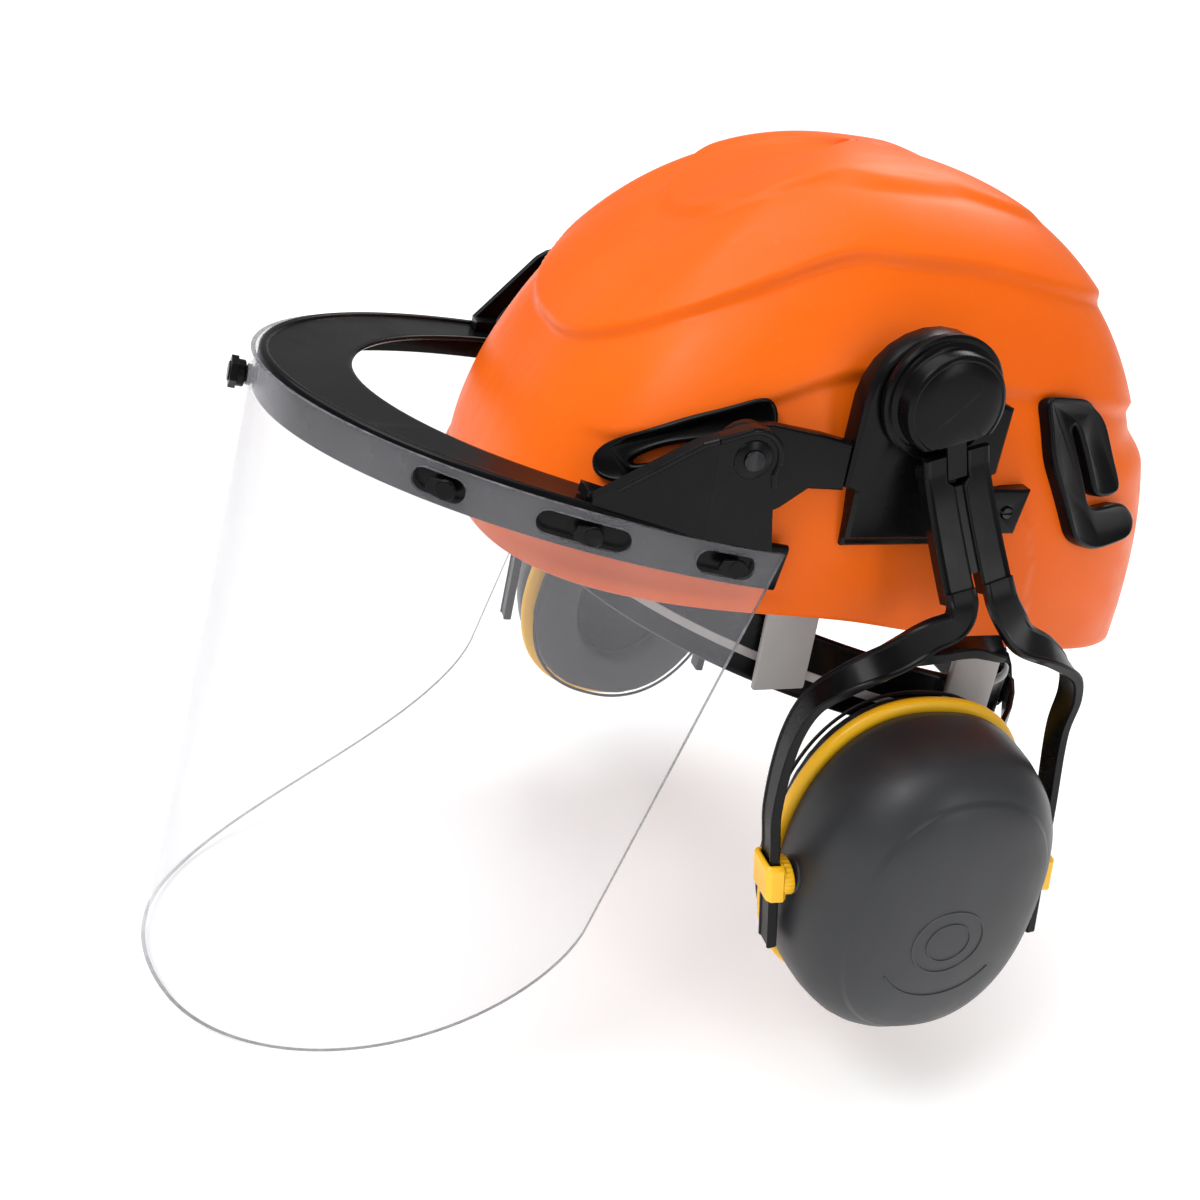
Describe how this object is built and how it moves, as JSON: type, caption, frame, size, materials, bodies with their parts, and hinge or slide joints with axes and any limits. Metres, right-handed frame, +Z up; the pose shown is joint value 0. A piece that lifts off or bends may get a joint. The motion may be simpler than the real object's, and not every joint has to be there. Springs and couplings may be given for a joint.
{
  "type": "hard hat",
  "caption": "Climbing-style hard hat with a flip-up clear face shield, swinging ear muffs, webbing suspension and a ratchet size adjuster",
  "frame": {"origin": "centre of the wearer's head, level with the headband at the forehead", "axes": "+Z up through the crown, the wearer looks along -Y, +X is the wearer's left"},
  "size_m": [0.2952, 0.3811, 0.3326],
  "materials": {
    "orange_shell": "smooth, slightly satin",
    "black_plastic": "fine moulded satin",
    "charcoal_plastic": "fine satin",
    "yellow_plastic": "satin",
    "grey_plastic": "satin",
    "steel": "satin",
    "clear_sheet": "clear, polished",
    "black_vinyl": "soft wrinkled skin",
    "grey_foam": "open-cell foam",
    "black_cloth": "knitted, padded",
    "black_webbing": "woven webbing"
  },
  "bodies": {
    "helmet": {"shell": "orange_shell", "front_lamp_clip_left": "black_plastic", "front_lamp_clip_right": "black_plastic", "rear_lamp_clip_left": "black_plastic", "rear_lamp_clip_right": "black_plastic", "hub_housing_left": "black_plastic", "hub_housing_right": "black_plastic", "screw_plate_left": "black_plastic", "screw_plate_right": "black_plastic", "plate_screw_left": "steel", "plate_screw_right": "steel", "visor_arm_left": "black_plastic", "visor_arm_right": "black_plastic", "hinge_pin_left": "steel", "hinge_pin_right": "steel", "headband": "black_plastic", "brow_pad": "black_cloth", "front_hanger_left": "grey_plastic", "front_hanger_right": "grey_plastic", "rear_hanger_left": "grey_plastic", "rear_hanger_right": "grey_plastic", "crown_strap_low": "black_webbing", "crown_strap_high": "black_webbing", "crown_pad": "black_cloth", "nape_housing": "black_plastic"},
    "visor": {"visor_carrier": "black_plastic", "visor_lens": "clear_sheet", "lens_stud_1_left": "black_plastic", "lens_stud_2_left": "black_plastic", "lens_stud_3_left": "black_plastic", "lens_stud_1_right": "black_plastic", "lens_stud_2_right": "black_plastic", "lens_stud_3_right": "black_plastic"},
    "clamp_knob": {"clamp_knob": "black_plastic"},
    "turret_left": {"turret_left": "black_plastic", "tilt_pin_left": "steel"},
    "yoke_left": {"yoke_left": "black_plastic"},
    "sliders_left": {"front_slider_left": "yellow_plastic", "rear_slider_left": "yellow_plastic"},
    "cup_left": {"cup_left": "charcoal_plastic", "trim_ring_left": "yellow_plastic", "ear_cushion_left": "black_vinyl", "cup_liner_left": "grey_foam"},
    "turret_right": {"turret_right": "black_plastic", "tilt_pin_right": "steel"},
    "yoke_right": {"yoke_right": "black_plastic"},
    "sliders_right": {"front_slider_right": "yellow_plastic", "rear_slider_right": "yellow_plastic"},
    "cup_right": {"cup_right": "charcoal_plastic", "trim_ring_right": "yellow_plastic", "ear_cushion_right": "black_vinyl", "cup_liner_right": "grey_foam"},
    "nape_knob": {"nape_knob": "black_plastic", "nape_pinion": "grey_plastic"},
    "size_strap_left": {"size_strap_left": "black_plastic"},
    "size_strap_right": {"size_strap_right": "black_plastic"}
  },
  "joints": [
    {"name": "visor_flip", "type": "hinge", "parent": "helmet", "child": "visor", "pos_m": [0, -0.0665, 0.051], "axis": [-1, 0, 0], "range_deg": [0, 95]},
    {"name": "clamp_turn", "type": "hinge", "parent": "visor", "child": "clamp_knob", "pos_m": [0, -0.20355, 0.03592], "axis": [0, -0.9854, 0.1702], "continuous": true},
    {"name": "muff_swing_left", "type": "hinge", "parent": "helmet", "child": "turret_left", "pos_m": [0.106, -0.007, 0.071], "axis": [1, 0, 0], "range_deg": [-12, 9]},
    {"name": "muff_tilt_left", "type": "hinge", "parent": "turret_left", "child": "yoke_left", "pos_m": [0.1095, -0.00086, 0.05092], "axis": [0, -0.9563, -0.2924], "range_deg": [0, 35]},
    {"name": "muff_height_left", "type": "slide", "parent": "yoke_left", "child": "sliders_left", "axis": [0, 0.165, -0.9863], "range_m": [-0.006, 0.014]},
    {"name": "cup_tilt_left", "type": "hinge", "parent": "sliders_left", "child": "cup_left", "pos_m": [0.113, 0.02285, -0.107], "axis": [0, 0.998, -0.0626], "range_deg": [-1, 6]},
    {"name": "muff_swing_right", "type": "hinge", "parent": "helmet", "child": "turret_right", "pos_m": [-0.106, -0.007, 0.071], "axis": [1, 0, 0], "range_deg": [-1, 22]},
    {"name": "muff_tilt_right", "type": "hinge", "parent": "turret_right", "child": "yoke_right", "pos_m": [-0.1095, -0.0059, 0.05003], "axis": [0, 0.9986, 0.0523], "range_deg": [0, 35]},
    {"name": "muff_height_right", "type": "slide", "parent": "yoke_right", "child": "sliders_right", "axis": [0, -0.0785, -0.9969], "range_m": [0, 0.024]},
    {"name": "cup_tilt_right", "type": "hinge", "parent": "sliders_right", "child": "cup_right", "pos_m": [-0.113, -0.02008, -0.09597], "axis": [0, -0.9533, 0.3021], "range_deg": [-1, 6]},
    {"name": "nape_turn", "type": "hinge", "parent": "helmet", "child": "nape_knob", "pos_m": [0, 0.11, -0.084], "axis": [0, 1, 0], "range_deg": [0, 75]},
    {"name": "strap_slide_left", "type": "slide", "parent": "helmet", "child": "size_strap_left", "axis": [1, 0, 0], "range_m": [0, 0.0064]},
    {"name": "strap_slide_right", "type": "slide", "parent": "helmet", "child": "size_strap_right", "axis": [-1, 0, 0], "range_m": [0, 0.0064]}
  ],
  "couplings": [
    {"joint": "strap_slide_left", "follows": "nape_turn", "m_per_rad": 0.0048},
    {"joint": "strap_slide_right", "follows": "nape_turn", "m_per_rad": 0.0048}
  ]
}
